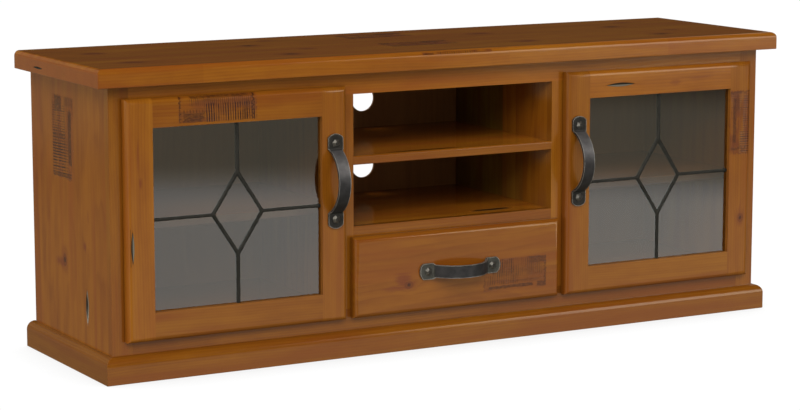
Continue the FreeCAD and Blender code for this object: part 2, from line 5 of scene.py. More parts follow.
import bmesh
import bpy
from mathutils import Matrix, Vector


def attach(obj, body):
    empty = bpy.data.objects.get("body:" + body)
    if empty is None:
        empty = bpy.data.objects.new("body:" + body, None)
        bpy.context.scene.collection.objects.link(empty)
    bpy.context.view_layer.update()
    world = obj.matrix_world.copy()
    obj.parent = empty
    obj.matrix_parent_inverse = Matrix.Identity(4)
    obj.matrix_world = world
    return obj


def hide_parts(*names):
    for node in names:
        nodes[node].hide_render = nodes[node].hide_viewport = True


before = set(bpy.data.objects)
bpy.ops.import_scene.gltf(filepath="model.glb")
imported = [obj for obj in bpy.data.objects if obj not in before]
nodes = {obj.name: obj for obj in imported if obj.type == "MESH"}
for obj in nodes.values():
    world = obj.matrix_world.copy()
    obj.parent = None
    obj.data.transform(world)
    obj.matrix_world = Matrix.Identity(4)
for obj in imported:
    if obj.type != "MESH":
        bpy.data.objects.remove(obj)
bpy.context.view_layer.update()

scene = bpy.context.scene

MM = 0.001
FACE_Y = -0.18025  # front plane of the face frame, in the row frame


def at(x, y, z):
    """A point in millimetres from the middle of the face frame's foot, in the row frame in metres."""
    return Vector((x * MM, y * MM + FACE_Y, z * MM))


# ---------------------------------------------------------------- camera

cam_data = bpy.data.cameras.new("camera")
cam = bpy.data.objects.new("camera", cam_data)
scene.collection.objects.link(cam)
cam.location = (-2.7847, -4.88855, 1.1829)
cam.rotation_euler = (math.radians(80.901), 0.0, math.radians(-29.356))
cam_data.sensor_fit = "HORIZONTAL"
cam_data.sensor_width = 36.0
cam_data.lens = 114.174
cam_data.clip_start = 0.05
cam_data.clip_end = 120.0
scene.camera = cam

scene.view_settings.view_transform = "Standard"
scene.view_settings.look = "None"
scene.view_settings.exposure = 0.0
scene.view_settings.gamma = 1.0


# ---------------------------------------------------------------- node writing


class Tree:
    """A short way to write shader nodes."""

    def __init__(self, tree):
        self.t = tree

    def new(self, kind, **props):
        n = self.t.nodes.new(kind)
        for k, v in props.items():
            setattr(n, k, v)
        return n

    def put(self, socket, value):
        if isinstance(value, bpy.types.NodeSocket):
            self.t.links.new(value, socket)
        elif value is not None:
            socket.default_value = value

    def math(self, op, a, b=None, c=None, clamp=False):
        n = self.new("ShaderNodeMath", operation=op, use_clamp=clamp)
        for s, v in zip(n.inputs, (a, b, c)):
            self.put(s, v)
        return n.outputs[0]

    def add(self, a, b):
        return self.math("ADD", a, b)

    def mul(self, a, b):
        return self.math("MULTIPLY", a, b)

    def mad(self, a, b, c):
        return self.math("MULTIPLY_ADD", a, b, c)

    def vmath(self, op, a, b=None, out=0):
        n = self.new("ShaderNodeVectorMath", operation=op)
        self.put(n.inputs[0], a)
        self.put(n.inputs[1], b)
        return n.outputs[out]

    def sep(self, v):
        n = self.new("ShaderNodeSeparateXYZ")
        self.put(n.inputs[0], v)
        return n.outputs

    def comb(self, x, y, z):
        n = self.new("ShaderNodeCombineXYZ")
        for s, v in zip(n.inputs, (x, y, z)):
            self.put(s, v)
        return n.outputs[0]

    def noise(self, vector, scale=1.0, detail=2.0, rough=0.5, warp=0.0):
        n = self.new("ShaderNodeTexNoise", noise_dimensions="3D")
        self.put(n.inputs["Vector"], vector)
        self.put(n.inputs["Scale"], scale)
        self.put(n.inputs["Detail"], detail)
        self.put(n.inputs["Roughness"], rough)
        self.put(n.inputs["Distortion"], warp)
        return n.outputs[0]

    def grit(self, g, a, sg, sa, seed, detail=2.0, rough=0.5):
        """Noise in the plane of a board: sg and sa are features per metre along and across the grain."""
        return self.noise(self.comb(self.mul(g, sg), self.mul(a, sa), seed), detail=detail, rough=rough)

    def voronoi(self, vector, scale, feature="F1", rand=1.0):
        n = self.new("ShaderNodeTexVoronoi", feature=feature)
        self.put(n.inputs["Vector"], vector)
        self.put(n.inputs["Scale"], scale)
        self.put(n.inputs["Randomness"], rand)
        return n.outputs["Distance"]

    def white(self, w):
        n = self.new("ShaderNodeTexWhiteNoise", noise_dimensions="1D")
        self.put(n.inputs["W"], w)
        return n.outputs

    def smooth(self, v, lo, hi, out_lo=0.0, out_hi=1.0, kind="SMOOTHSTEP"):
        n = self.new("ShaderNodeMapRange", interpolation_type=kind, clamp=True)
        for s, x in zip(n.inputs, (v, lo, hi, out_lo, out_hi)):
            self.put(s, x)
        return n.outputs[0]

    def ramp(self, fac, stops, interp="LINEAR"):
        n = self.new("ShaderNodeValToRGB")
        n.color_ramp.interpolation = interp
        el = n.color_ramp.elements
        while len(el) < len(stops):
            el.new(0.5)
        for e, (p, c) in zip(el, stops):
            e.position = p
            e.color = (*c, 1.0)
        self.put(n.inputs[0], fac)
        return n.outputs[0]

    def mix(self, fac, a, b, mode="MIX"):
        n = self.new("ShaderNodeMix", data_type="RGBA", blend_type=mode, clamp_factor=True)
        self.put(n.inputs[0], fac)
        self.put(n.inputs[6], a if isinstance(a, bpy.types.NodeSocket) else (*a, 1.0))
        self.put(n.inputs[7], b if isinstance(b, bpy.types.NodeSocket) else (*b, 1.0))
        return n.outputs[2]

    def bump(self, height, strength, distance):
        n = self.new("ShaderNodeBump")
        n.inputs["Strength"].default_value = strength
        n.inputs["Distance"].default_value = distance
        self.put(n.inputs["Height"], height)
        return n.outputs[0]

    def group(self, tree, **inputs):
        n = self.new("ShaderNodeGroup", node_tree=tree)
        for k, v in inputs.items():
            self.put(n.inputs[k], v)
        return n.outputs


def material(name):
    m = bpy.data.materials.new(name)
    m.use_nodes = True
    m.node_tree.nodes.clear()
    t = Tree(m.node_tree)
    out = t.new("ShaderNodeOutputMaterial")
    return m, t, out


def principled(t, out, **values):
    n = t.new("ShaderNodeBsdfPrincipled")
    for k, v in values.items():
        key = k.replace("_", " ")
        if not isinstance(v, bpy.types.NodeSocket) and key in ("Base Color", "Specular Tint", "Coat Tint"):
            v = (*v, 1.0)
        t.put(n.inputs[key], v)
    t.t.links.new(n.outputs[0], out.inputs["Surface"])
    return n


# ---------------------------------------------------------------- pine


def pine_group():
    """Figure of flat-sawn pine. x runs along the grain, y across the face, z through the thickness, in metres."""
    tree = bpy.data.node_groups.new("pine_figure", "ShaderNodeTree")
    face = tree.interface
    for name, kind in (("Grain", "NodeSocketVector"), ("Seed", "NodeSocketFloat"), ("Stave", "NodeSocketFloat"), ("Shift", "NodeSocketFloat"), ("Warp", "NodeSocketFloat")):
        face.new_socket(name, in_out="INPUT", socket_type=kind)
    for name in ("Tone", "Red", "Ring", "Fibre", "Seam"):
        face.new_socket(name, in_out="OUTPUT", socket_type="NodeSocketFloat")
    t = Tree(tree)
    gin = t.new("NodeGroupInput").outputs
    gout = t.new("NodeGroupOutput").inputs
    g, a, b = t.sep(gin["Grain"])
    seed, width = gin["Seed"], gin["Stave"]
    across = t.add(a, gin["Shift"])
    index = t.math("FLOOR", t.math("DIVIDE", across, width))
    r1, r2, r3 = t.sep(t.white(t.mad(index, 7.31, t.mul(seed, 13.7)))["Color"])
    mid = t.math("SUBTRACT", across, t.mul(t.add(index, 0.5), width))
    along = t.add(t.mad(r1, 9.0, g), t.mul(seed, 1.7))
    slow = t.noise(t.comb(t.mul(along, 1.3), t.mul(a, 4.0), t.mad(b, 4.0, seed)), detail=2.0)
    slow = t.math("SUBTRACT", slow, 0.5)
    quick = t.noise(t.comb(t.mul(along, 6.0), t.mul(a, 34.0), t.mad(b, 34.0, seed)), detail=2.0)
    quick = t.math("SUBTRACT", quick, 0.5)
    # growth rings about a pith that lies off the face
    pa = t.mad(t.math("SUBTRACT", r2, 0.5), 0.12, mid)
    pb = t.add(b, t.mad(r3, 0.05, 0.024))
    radius = t.math("SQRT", t.add(t.mul(pa, pa), t.mul(pb, pb)))
    radius = t.mad(slow, 0.045, radius)
    radius = t.mad(quick, 0.005, radius)
    radius = t.add(radius, gin["Warp"])
    spacing = t.mad(r1, 60.0, 140.0)
    phase = t.math("FRACT", t.mul(radius, spacing))
    late = t.mul(t.math("POWER", phase, 2.2), t.smooth(phase, 0.86, 1.0, 1.0, 0.0))
    fibre = t.noise(t.comb(t.mul(along, 14.0), t.mul(a, 620.0), t.mul(b, 620.0)), detail=3.0, rough=0.6)
    streak = t.noise(t.comb(t.mul(along, 1.0), t.mul(a, 40.0), t.mad(b, 40.0, t.mul(seed, 3.1))), detail=3.0, rough=0.6)
    thread = t.noise(t.comb(t.mul(along, 2.4), t.mul(a, 150.0), t.mad(b, 150.0, t.mul(seed, 2.3))), detail=2.0, rough=0.6)
    cloud = t.noise(t.comb(t.mul(along, 2.6), t.mul(a, 12.0), t.mad(b, 12.0, t.mul(seed, 5.3))), detail=3.0, rough=0.55)
    red = t.noise(t.comb(t.mul(along, 1.7), t.mul(a, 26.0), t.mad(b, 26.0, t.mul(seed, 8.9))), detail=3.0, rough=0.55)
    mottle = t.noise(t.comb(t.mul(along, 13.0), t.mul(a, 42.0), t.mad(b, 42.0, t.mul(seed, 6.1))), detail=3.0, rough=0.6)
    tone = t.mad(t.math("SUBTRACT", streak, 0.5), 0.8, 0.5)
    tone = t.mad(t.math("SUBTRACT", thread, 0.5), 0.4, tone)
    tone = t.mad(t.math("SUBTRACT", cloud, 0.5), 0.85, tone)
    tone = t.mad(t.math("SUBTRACT", mottle, 0.5), 0.55, tone)
    tone = t.mad(t.math("SUBTRACT", late, 0.25), 0.3, tone)
    tone = t.mad(t.math("SUBTRACT", fibre, 0.5), 0.28, tone)
    tone = t.mad(t.math("SUBTRACT", r3, 0.5), 0.3, tone)
    half = t.mul(width, 0.5)
    gap = t.math("SUBTRACT", half, t.math("ABSOLUTE", mid))
    t.put(gout["Tone"], tone)
    t.put(gout["Red"], red)
    t.put(gout["Ring"], late)
    t.put(gout["Fibre"], fibre)
    t.put(gout["Seam"], t.smooth(gap, 0.0, 0.0009, 1.0, 0.0))
    return tree


PINE = pine_group()

AXES = {"X": {"Y": (0, 2, 1), "Z": (0, 1, 2)}, "Y": {"X": (1, 2, 0), "Z": (1, 0, 2)}, "Z": {"X": (2, 1, 0), "Y": (2, 0, 1)}}

# stain colours of the boards, linear
LIGHT = (0.246, 0.0940, 0.0076)
BODY = (0.200, 0.0672, 0.0056)
DEEP = (0.136, 0.0385, 0.0044)
RUST = (0.172, 0.0452, 0.0064)
BLUSH = (0.128, 0.0300, 0.0086)
SAWN = (0.112, 0.0290, 0.0085)
SCAR = (0.022, 0.0066, 0.0050)
KNOT = (0.045, 0.0125, 0.0065)


def patch(t, g, a, spot, feather, ragged, seed):
    """1 inside a rectangle (middle and half size along and across the grain, in metres), with torn ends and wavering sides."""
    gm, am, hg, ha = spot
    tear = t.math("SUBTRACT", t.grit(g, a, 9.0, 190.0, seed, 3.0, 0.62), 0.5)
    wave = t.math("SUBTRACT", t.grit(g, a, 70.0, 30.0, seed + 3.0, 2.0), 0.5)
    dg = t.math("SUBTRACT", t.math("ABSOLUTE", t.mad(tear, ragged, t.math("SUBTRACT", g, gm))), hg)
    da = t.math("SUBTRACT", t.math("ABSOLUTE", t.mad(wave, ragged * 0.28, t.math("SUBTRACT", a, am))), ha)
    ends = t.smooth(dg, -feather, feather, 1.0, 0.0)
    sides = t.smooth(da, -feather * 0.6, feather * 0.6, 1.0, 0.0)
    return t.mul(ends, sides)


def saw_marks(t, g, a, near, spot):
    """(tint, dark) of a rough-sawn patch: a brown stain, blade lines across the grain and torn streaks along it."""
    seed = spot["seed"]
    mask = t.mul(near, patch(t, g, a, spot["at"], 0.0016, 0.014, seed))
    flecks = t.grit(g, a, 130.0, 300.0, seed + 9.0)
    cloud = t.grit(g, a, 18.0, 40.0, seed + 2.0, 3.0)
    dark = t.mul(t.smooth(t.grit(g, a, 8.0, 150.0, seed + 4.0, 4.0, 0.65), 0.52, 0.72), 0.55)
    for where, pitch, slant, power in spot["lines"]:
        drift = t.math("SUBTRACT", t.grit(g, a, 24.0, 14.0, seed + 6.0), 0.5)
        run = t.math("DIVIDE", t.mad(drift, 0.0035, t.mad(a, slant, g)), pitch)
        amp = t.smooth(t.white(t.add(t.math("FLOOR", run), seed))["Value"], 0.0, 0.7, 0.55, 1.0)
        off = t.math("ABSOLUTE", t.math("SUBTRACT", t.math("FRACT", run), 0.5))
        line = t.mul(t.smooth(off, 0.16, 0.34, 1.0, 0.0), amp)
        run_out = t.smooth(t.grit(g, a, 34.0, 55.0, seed + 8.0), 0.3, 0.5, 0.5, 1.0)
        line = t.mul(t.mul(line, run_out), t.mul(patch(t, g, a, where, 0.006, 0.012, seed + 11.0), power))
        dark = t.math("MAXIMUM", dark, line)
    for where, power in spot["streaks"]:
        band = patch(t, g, a, where, 0.0022, 0.018, seed + 17.0 + 100.0 * where[0])
        dark = t.math("MAXIMUM", dark, t.mul(band, t.smooth(flecks, 0.3, 0.62, 0.55 * power, power)))
    dark = t.mul(t.mul(dark, mask), t.smooth(flecks, 0.2, 0.55, 0.78, 1.0))
    tint = t.mul(mask, t.smooth(cloud, 0.36, 0.62, 0.12, 1.0))
    return tint, dark


def pine(name, grain, thick, seed, stave=10.0, shift=0.0, tone=0.0, red=0.0, saws=(), knots=(), smears=(), scars=(), splits=(), zones=(), dull=(), tone_and_light_gain=1.0, fold=None, shade=()):
    """Amber-stained, lacquered pine. Every mark is placed in the row frame."""
    m, t, out = material(name)
    place = t.new("ShaderNodeTexCoord").outputs["Object"]
    xyz = t.sep(place)
    i, j, k = AXES[grain][thick]
    g, a, b = xyz[i], xyz[j], xyz[k]
    whole = t.comb(g, a, b)
    if fold:
        start, period = fold
        a = t.add(t.math("FLOORED_MODULO", t.math("SUBTRACT", a, start), period), start)
    warp = 0.0
    marks = []
    for centre, size in knots:
        dg = t.math("SUBTRACT", g, centre[i])
        da = t.math("SUBTRACT", a, centre[j])
        db = t.math("SUBTRACT", b, centre[k])
        near = t.smooth(t.math("ABSOLUTE", db), 0.010, 0.014, 1.0, 0.0)
        wob = t.math("SUBTRACT", t.noise(place, scale=0.9 / size, detail=3.0), 0.5)
        r = t.math("SQRT", t.add(t.math("POWER", t.mul(dg, 1.0 / (1.25 * size)), 2.0), t.math("POWER", t.mul(da, 1.0 / size), 2.0)))
        r = t.mad(wob, 0.8, r)
        push = t.mul(t.math("EXPONENT", t.mul(t.mul(r, r), -0.14)), size * 1.7)
        warp = push if warp == 0.0 else t.add(warp, push)
        far = t.math("SQRT", t.add(t.math("POWER", t.mul(dg, 1.0 / (5.2 * size)), 2.0), t.math("POWER", t.mul(da, 1.0 / (3.0 * size)), 2.0)))
        far = t.mad(t.math("SUBTRACT", t.grit(g, a, 22.0, 120.0, float(seed), 3.0, 0.6), 0.5), 1.1, far)
        halo = t.mul(t.smooth(far, 0.15, 1.05, 0.85, 0.0), near)
        ring = t.mul(t.smooth(t.math("ABSOLUTE", t.math("SUBTRACT", r, 1.25)), 0.1, 0.5, 0.55, 0.0), near)
        core = t.mul(t.smooth(r, 0.35, 1.0, 1.0, 0.0), near)
        marks.append((halo, ring, core))
    figure = t.group(PINE, Grain=whole, Seed=float(seed), Stave=stave, Shift=shift, Warp=warp)
    level = figure["Tone"]
    if tone:
        level = t.add(level, tone)
    blush = figure["Red"]
    if red:
        blush = t.add(blush, red)
    for (zc, zh), dt, dr in zones:
        d = t.vmath("SUBTRACT", t.vmath("ABSOLUTE", t.vmath("SUBTRACT", place, tuple(zc))), tuple(zh))
        x, y, z = t.sep(d)
        inside = t.smooth(t.math("MAXIMUM", t.math("MAXIMUM", x, y), z), -0.0008, 0.0008, 1.0, 0.0)
        level = t.mad(inside, dt, level)
        blush = t.mad(inside, dr, blush)
    # The gain scales a board's stain colours: partly tone that differs from board to board, partly painted light and
    # shade, as listed above the table of looks.
    light, body, deep_, rust = ([v * tone_and_light_gain for v in c] for c in (LIGHT, BODY, DEEP, RUST))
    colour = t.ramp(level, ((0.0, light), (0.48, body), (1.0, deep_)))
    colour = t.mix(t.smooth(blush, 0.46, 0.72, 0.0, 0.72), colour, rust)
    colour = t.mix(t.mul(figure["Seam"], 0.4), colour, deep_)
    height = t.add(t.mul(figure["Fibre"], 0.5), t.mul(figure["Ring"], -0.3))
    rough = t.mad(figure["Fibre"], 0.07, 0.095)
    for where, hg, ha, power in smears:
        dg = t.mul(t.math("SUBTRACT", g, where[i]), 1.0 / hg)
        da = t.mul(t.math("SUBTRACT", a, where[j]), 1.0 / ha)
        r = t.math("SQRT", t.add(t.mul(dg, dg), t.mul(da, da)))
        r = t.mad(t.math("SUBTRACT", t.grit(g, a, 26.0, 230.0, float(seed) + 31.0, 3.0, 0.6), 0.5), 1.6, r)
        near = t.smooth(t.math("ABSOLUTE", t.math("SUBTRACT", b, where[k])), 0.010, 0.014, 1.0, 0.0)
        colour = t.mix(t.mul(t.smooth(r, 0.2, 1.0, power, 0.0), near), colour, BLUSH)
    for halo, ring, core in marks:
        colour = t.mix(t.mul(halo, 0.8), colour, BLUSH)
        colour = t.mix(ring, colour, (0.085, 0.022, 0.007))
        colour = t.mix(core, colour, KNOT)
        height = t.mad(core, -0.5, height)
    for spot in saws:
        near = t.smooth(t.math("ABSOLUTE", t.math("SUBTRACT", b, spot["face"])), 0.006, 0.009, 1.0, 0.0)
        tint, dark = saw_marks(t, g, a, near, spot)
        colour = t.mix(t.mul(tint, spot["tint"]), colour, SAWN)
        colour = t.mix(t.mul(dark, spot["dark"]), colour, SCAR)
        height = t.mad(dark, -1.8, height)
        rough = t.mad(tint, spot["rough"], rough)
    for middle, half, axis, face, sign, core, (width_axis, edge, way) in scars:
        d = t.vmath("SUBTRACT", t.vmath("ABSOLUTE", t.vmath("SUBTRACT", place, tuple(middle))), tuple(half))
        x, y, z = t.sep(d)
        cut = t.smooth(t.math("MAXIMUM", t.math("MAXIMUM", x, y), z), -0.0003, 0.0, 1.0, 0.0)
        fleck = t.noise(place, scale=700.0, detail=2.0)
        wall = t.ramp(fleck, ((0.3, (0.006, 0.0045, 0.0035)), (0.75, (0.020, 0.016, 0.013))))
        deep = t.smooth(t.mul(t.math("SUBTRACT", xyz[axis], face), sign), 0.0004, 0.0009)
        pale = t.smooth(t.mul(t.math("SUBTRACT", xyz[width_axis], edge), way), -0.0006, 0.0006)
        wall = t.mix(t.mul(t.mul(deep, pale), t.smooth(fleck, 0.25, 0.6, 0.7, 1.0)), wall, (core, core * 0.93, core * 0.8))
        colour = t.mix(cut, colour, wall)
        rough = t.mad(cut, 0.2, rough)
    # Painted shade: inside each box the colour is multiplied by a tint, mostly darkening it, where the face lies in
    # shade or a lit edge must stay dark.
    for middle, half, painted_shade_tint in shade:
        d = t.vmath("SUBTRACT", t.vmath("ABSOLUTE", t.vmath("SUBTRACT", place, tuple(middle))), tuple(half))
        x, y, z = t.sep(d)
        colour = t.mix(t.smooth(t.math("MAXIMUM", t.math("MAXIMUM", x, y), z), -0.0003, 0.0003, 1.0, 0.0), colour, painted_shade_tint, "MULTIPLY")
    for middle, half in dull:
        d = t.vmath("SUBTRACT", t.vmath("ABSOLUTE", t.vmath("SUBTRACT", place, tuple(middle))), tuple(half))
        x, y, z = t.sep(d)
        rough = t.mad(t.smooth(t.math("MAXIMUM", t.math("MAXIMUM", x, y), z), -0.0003, 0.0, 1.0, 0.0), 0.55, rough)
    for middle, half in splits:
        x, y, z = t.sep(t.vmath("DIVIDE", t.vmath("SUBTRACT", place, tuple(middle)), tuple(half)))
        r = t.math("SQRT", t.add(t.mul(x, x), t.mul(y, y)))
        r = t.mad(t.math("SUBTRACT", t.grit(g, a, 30.0, 260.0, float(seed) + 41.0, 3.0, 0.6), 0.5), 0.5, r)
        strip = t.mul(t.smooth(r, 0.7, 1.0, 0.93, 0.0), t.smooth(t.math("ABSOLUTE", z), 0.9, 1.0, 1.0, 0.0))
        colour = t.mix(strip, colour, (0.012, 0.006, 0.003))
    principled(t, out, Base_Color=colour, Roughness=rough, Normal=t.bump(height, 0.10, 0.0004), Specular_IOR_Level=0.26, Specular_Tint=(1.0, 0.955, 0.83))
    return m


def raw_pine(name, grain, thick, seed, stave=10.0, shift=0.0):
    """Bare planed pine of the drawer box and the hidden rails."""
    m, t, out = material(name)
    place = t.new("ShaderNodeTexCoord").outputs["Object"]
    xyz = t.sep(place)
    i, j, k = AXES[grain][thick]
    figure = t.group(PINE, Grain=t.comb(xyz[i], xyz[j], xyz[k]), Seed=float(seed), Stave=stave, Shift=shift, Warp=0.0)
    level = t.mad(figure["Ring"], 0.35, figure["Tone"])
    colour = t.ramp(level, ((0.0, (0.62, 0.45, 0.26)), (0.55, (0.53, 0.35, 0.17)), (1.0, (0.36, 0.20, 0.075))))
    colour = t.mix(t.mul(figure["Seam"], 0.5), colour, (0.25, 0.14, 0.06))
    height = t.add(t.mul(figure["Fibre"], 0.6), t.mul(figure["Ring"], -0.4))
    principled(t, out, Base_Color=colour, Roughness=t.mad(figure["Fibre"], 0.2, 0.5), Normal=t.bump(height, 0.35, 0.0004), Specular_IOR_Level=0.3)
    return m


def back_board(name):
    """Thin veneered board of the back, stained to match, duller and finer in figure than the solid boards."""
    m, t, out = material(name)
    place = t.new("ShaderNodeTexCoord").outputs["Object"]
    x, y, z = t.sep(place)
    figure = t.group(PINE, Grain=t.comb(z, x, y), Seed=41.0, Stave=0.267, Shift=0.0, Warp=0.0)
    fine = t.noise(t.comb(t.mul(z, 9.0), t.mul(x, 300.0), 3.0), detail=3.0)
    level = t.mad(t.math("SUBTRACT", fine, 0.5), 0.4, figure["Tone"])
    colour = t.ramp(level, ((0.0, (0.200, 0.083, 0.0165)), (0.5, (0.170, 0.066, 0.0122)), (1.0, (0.140, 0.051, 0.0092))))
    colour = t.mix(t.mul(figure["Seam"], 0.5), colour, (0.07, 0.027, 0.007))
    principled(t, out, Base_Color=colour, Roughness=t.mad(fine, 0.2, 0.42), Normal=t.bump(fine, 0.2, 0.0003), Specular_IOR_Level=0.25)
    return m


def outer_edge_mask(t, radius):
    """1 on a piece's outer edges, 0 on its faces."""
    soft = t.new("ShaderNodeBevel", samples=4)
    soft.inputs["Radius"].default_value = radius
    flat = t.new("ShaderNodeNewGeometry").outputs["Normal"]
    return t.smooth(t.vmath("DOT_PRODUCT", soft.outputs[0], flat, out=1), 0.88, 0.995, 1.0, 0.0)


def forged_iron(name, plate):
    """Blackened forged iron, wax finished. Its edges are lighter grey, partly rubbed metal and partly a painted edge
    highlight. It carries a painted highlight where it faces up, and the plates that lie against the door take their own
    plate colour.
    """
    m, t, out = material(name)
    place = t.new("ShaderNodeTexCoord").outputs["Object"]
    cloud = t.noise(place, scale=55.0, detail=4.0, rough=0.6)
    grit = t.noise(place, scale=1100.0, detail=3.0, rough=0.6)
    dents = t.voronoi(place, 95.0, "SMOOTH_F1")
    colour = t.ramp(cloud, ((0.3, (0.026, 0.0258, 0.0290)), (0.7, (0.048, 0.0475, 0.0530))))
    # Painted highlight: faces that point up are lightened towards pale grey, as if lit from above.
    up = t.sep(t.new("ShaderNodeNewGeometry").outputs["Normal"])[2]
    colour = t.mix(t.smooth(up, -0.02, 0.42, 0.0, 0.9), colour, t.ramp(cloud, ((0.3, (0.100, 0.0990, 0.1100)), (0.7, (0.165, 0.1630, 0.1780)))))
    # The plates, within a few millimetres of the door or drawer face, take the plate colour.
    plate_zone = t.smooth(t.sep(place)[1], at(0, -33, 0)[1], at(0, -28, 0)[1])
    colour = t.mix(t.mul(plate_zone, 0.85), colour, t.ramp(cloud, ((0.3, [0.6 * v for v in plate]), (0.7, [1.4 * v for v in plate]))))
    # Lighter grey along the edges: partly rubbed metal, partly a painted edge highlight.
    rub_and_glint = t.mul(outer_edge_mask(t, 0.0023), t.smooth(t.mad(grit, 0.5, cloud), 0.5, 0.9, 0.4, 1.0))
    colour = t.mix(rub_and_glint, colour, (0.50, 0.49, 0.47))
    rough = t.mad(grit, 0.12, 0.52)
    height = t.add(t.mul(dents, 0.8), t.mul(grit, 0.05))
    principled(t, out, Base_Color=colour, Metallic=0.8, Roughness=rough, Normal=t.bump(height, 0.10, 0.0012), Specular_IOR_Level=0.4)
    return m


def bolt_iron(name):
    """Bolt heads: the same iron but paler, with painted shade darkening the flat top so that the sloping sides read as
    a bright ring.
    """
    m, t, out = material(name)
    place = t.new("ShaderNodeTexCoord").outputs["Object"]
    cloud = t.noise(place, scale=240.0, detail=3.0, rough=0.6)
    grit = t.noise(place, scale=1500.0, detail=2.0)
    colour = t.ramp(cloud, ((0.3, (0.085, 0.082, 0.078)), (0.72, (0.175, 0.170, 0.163))))
    # A lighter ring along the head's edges: partly wear, partly a painted highlight.
    rub_and_glint = outer_edge_mask(t, 0.0012)
    colour = t.mix(t.mul(rub_and_glint, 0.5), colour, (0.38, 0.37, 0.35))
    # Painted shade: the flat top, which faces straight out, is darkened nearly to black.
    painted_shade_top = t.smooth(t.sep(t.new("ShaderNodeTexCoord").outputs["Normal"])[1], -0.97, -0.91, 1.0, 0.0)
    colour = t.mix(t.mul(painted_shade_top, 0.9), colour, (0.016, 0.015, 0.014))
    principled(t, out, Base_Color=colour, Metallic=0.9, Roughness=t.mad(grit, 0.14, 0.34), Normal=t.bump(cloud, 0.12, 0.0005))
    return m


def lead(name):
    """Dark patinated lead with a soft grey bloom."""
    m, t, out = material(name)
    place = t.new("ShaderNodeTexCoord").outputs["Object"]
    cloud = t.noise(place, scale=110.0, detail=4.0, rough=0.6)
    grit = t.noise(place, scale=1300.0, detail=2.0)
    colour = t.ramp(cloud, ((0.3, (0.008, 0.0078, 0.0068)), (0.75, (0.019, 0.0185, 0.0165))))
    height = t.add(cloud, t.mul(grit, 0.3))
    principled(t, out, Base_Color=colour, Metallic=0.15, Roughness=t.mad(grit, 0.2, 0.38), Normal=t.bump(height, 0.2, 0.0004), Specular_IOR_Level=0.2)
    return m


def zinc(name, base=(0.55, 0.55, 0.54), rough=0.3):
    """Bright zinc plate with faint draw lines."""
    m, t, out = material(name)
    place = t.new("ShaderNodeTexCoord").outputs["Object"]
    cloud = t.noise(place, scale=160.0, detail=3.0)
    lines = t.noise(t.vmath("MULTIPLY", place, (300.0, 40.0, 2600.0)), scale=1.0, detail=2.0)
    colour = t.mix(t.smooth(cloud, 0.35, 0.7), base, tuple(0.72 * c for c in base))
    principled(t, out, Base_Color=colour, Metallic=0.95, Roughness=t.mad(lines, 0.16, rough - 0.06), Normal=t.bump(lines, 0.12, 0.0002))
    return m


def pane(name):
    """Clear float glass with the faintest grey-green cast: it passes light straight and mirrors by Fresnel, once for both faces."""
    m, t, out = material(name)
    clear = t.new("ShaderNodeBsdfTransparent")
    clear.inputs["Color"].default_value = (0.87, 0.875, 0.83, 1.0)
    gloss = t.new("ShaderNodeBsdfGlossy")
    gloss.inputs["Color"].default_value = (1.0, 1.0, 1.0, 1.0)
    gloss.inputs["Roughness"].default_value = 0.02
    fres = t.new("ShaderNodeFresnel")
    fres.inputs["IOR"].default_value = 1.5
    back = t.new("ShaderNodeNewGeometry").outputs["Backfacing"]
    share = t.math("MULTIPLY", t.mul(fres.outputs[0], 2.3), t.math("SUBTRACT", 1.0, back), clamp=True)
    mixed = t.new("ShaderNodeMixShader")
    t.put(mixed.inputs[0], share)
    t.put(mixed.inputs[1], clear.outputs[0])
    t.put(mixed.inputs[2], gloss.outputs[0])
    t.put(out.inputs["Surface"], mixed.outputs[0])
    return m


# ---------------------------------------------------------------- boards


def saw(face, face_axis, g0, g1, a0, a1, across, lines, streaks, seed, tint=0.7, dark=0.9, rough=0.16):
    """A sawn patch from g0 to g1 along the grain and a0 to a1 across it, in millimetres; across is the axis it runs over."""
    shift = lambda axis, v: v * MM + (FACE_Y if axis == "Y" else 0.0)

    def rect(r):
        b0, b1, c0, c1 = r
        return (0.5 * (b0 + b1) * MM, shift(across, 0.5 * (c0 + c1)), 0.5 * abs(b1 - b0) * MM, 0.5 * abs(c1 - c0) * MM)

    return dict(
        face=shift(face_axis, face),
        at=rect((g0, g1, a0, a1)),
        lines=[(rect(r), p * MM, s, w) for r, p, s, w in lines],
        streaks=[(rect(r), w) for r, w in streaks],
        seed=float(seed), tint=tint, dark=dark, rough=rough,
    )


def scar(x, y, z, hx, hy, hz, nx=0, ny=0, nz=0, core=0.03, pale=(2, 0.0, -1.0)):
    """The walls of a gouge: a box about it that starts just below the face, whose outward normal is nx, ny, nz.
    pale is the axis over its width, the offset in millimetres where the pale wall starts and the way it lies."""
    skin = 0.3
    middle = at(x - nx * (hx + skin), y - ny * (hy + skin), z - nz * (hz + skin))
    axis = 0 if nx else 1 if ny else 2
    across, start, way = pale
    return middle, Vector((hx, hy, hz)) * MM, axis, at(x, y, z)[axis], -float(nx + ny + nz), core, (across, at(x, y, z)[across] + start * MM, way)


def ledge(sign, side):
    """The inner lip of a door's opening on one side, in front of the pane."""
    cx = 530.0 * sign
    if side in ("top", "bottom"):
        return at(cx, -17.0, 524.5 if side == "top" else 143.5), Vector((0.2, 0.0052, 0.0009))
    return at(cx + sign * (193.5 if side == "outer" else -193.5), -17.0, 334.0), Vector((0.0009, 0.0052, 0.2))


